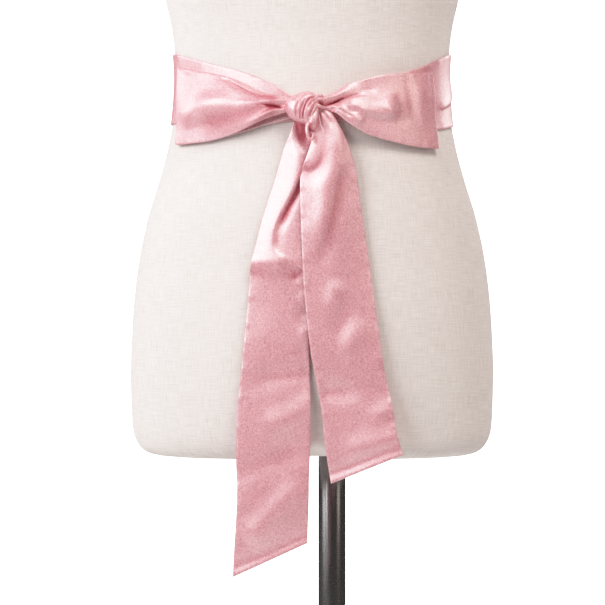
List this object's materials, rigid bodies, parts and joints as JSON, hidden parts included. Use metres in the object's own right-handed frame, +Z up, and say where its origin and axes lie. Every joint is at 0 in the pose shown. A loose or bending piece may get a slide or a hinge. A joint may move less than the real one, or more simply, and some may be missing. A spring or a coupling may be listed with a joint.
{
  "type": "satin sash on a limbless dress form",
  "caption": "Pink satin sash wound round the waist of a limbless linen dress form and tied in a front bow with long slanted tails, on a dark pole stand with a round base.",
  "frame": {"origin": "centre of the base plate's underside, on the pole's axis, on the floor", "axes": "+Z up along the pole; -Y out of the front of the dress form, where the bow is; +X to the right seen from the front"},
  "size_m": [0.3543, 0.32, 1.546],
  "materials": {
    "sash_satin": "dusty pink satin with soft wide highlights and a fine grain",
    "form_linen": "matte cream linen cover with a fine plain weave",
    "stand_metal": "dark gunmetal, semi-gloss"
  },
  "bodies": {
    "root": {"stand_base": "stand_metal", "stand_pole": "stand_metal", "form_body": "form_linen", "sash_band": "sash_satin", "sash_loop_left": "sash_satin", "sash_loop_right": "sash_satin", "sash_knot": "sash_satin", "sash_tail_left": "sash_satin", "sash_tail_right": "sash_satin"}
  },
  "joints": []
}
